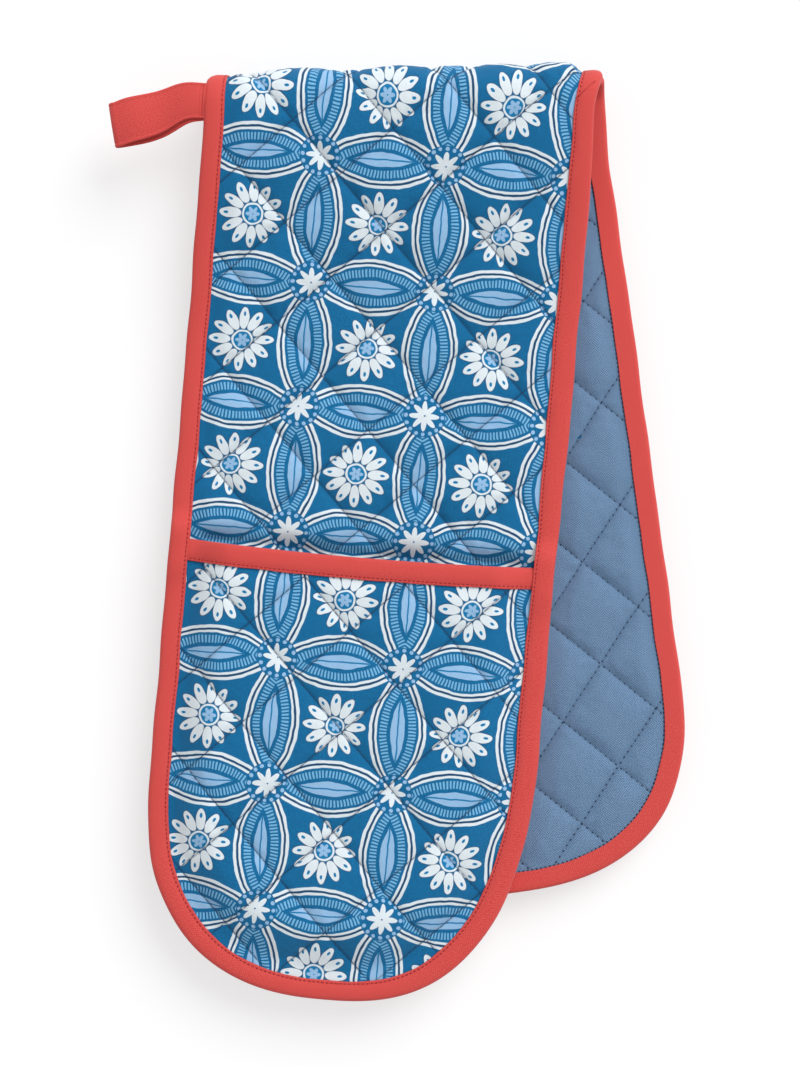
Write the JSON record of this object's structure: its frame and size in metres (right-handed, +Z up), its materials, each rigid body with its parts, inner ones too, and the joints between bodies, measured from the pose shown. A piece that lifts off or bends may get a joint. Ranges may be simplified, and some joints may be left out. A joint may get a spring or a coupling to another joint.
{
  "type": "double oven glove",
  "caption": "Quilted double oven glove folded flat, with a hand pocket at each rounded end, taped edges and a hanging loop",
  "frame": {"origin": "middle of the box round the folded glove, at the height of the table it lies on", "axes": "+X right along the fold line, +Y from the pockets towards the fold, +Z up out of the table"},
  "size_m": [0.2702, 0.444, 0.0351],
  "materials": {
    "printed_cotton": "matt printed cotton twill",
    "chambray_lining": "matt plain-weave chambray",
    "cotton_wadding": "soft needled wadding",
    "red_cotton_tape": "matt woven cotton tape"
  },
  "bodies": {
    "back": {"back_cover": "printed_cotton", "back_wadding": "cotton_wadding", "back_lining": "chambray_lining", "back_edge_binding": "red_cotton_tape", "back_pocket_cover": "printed_cotton", "back_pocket_wadding": "cotton_wadding", "back_pocket_lining": "chambray_lining", "back_pocket_binding": "red_cotton_tape"},
    "fold": {"fold_cover": "printed_cotton", "fold_wadding": "cotton_wadding", "fold_lining": "chambray_lining", "fold_binding_left": "red_cotton_tape", "fold_binding_right": "red_cotton_tape"},
    "front": {"front_cover": "printed_cotton", "front_wadding": "cotton_wadding", "front_lining": "chambray_lining", "front_edge_binding": "red_cotton_tape", "front_pocket_cover": "printed_cotton", "front_pocket_wadding": "cotton_wadding", "front_pocket_lining": "chambray_lining", "front_pocket_binding": "red_cotton_tape"},
    "loop": {"hanging_loop": "red_cotton_tape"}
  },
  "joints": [
    {"name": "fold_lower", "type": "hinge", "parent": "back", "child": "fold", "pos_m": [0.00778, 0.21764, 0.00548], "axis": [-1, 0, 0], "range_deg": [0, 90]},
    {"name": "fold_upper", "type": "hinge", "parent": "fold", "child": "front", "pos_m": [0.00778, 0.21764, 0.02952], "axis": [-1, 0, 0], "range_deg": [0, 90]},
    {"name": "loop_swing", "type": "hinge", "parent": "front", "child": "loop", "pos_m": [-0.0892, 0.20697, 0.03], "axis": [-0.1097, -0.994, 0], "range_deg": [-70, 20]}
  ],
  "couplings": [
    {"joint": "fold_upper", "follows": "fold_lower", "ratio": 1}
  ]
}
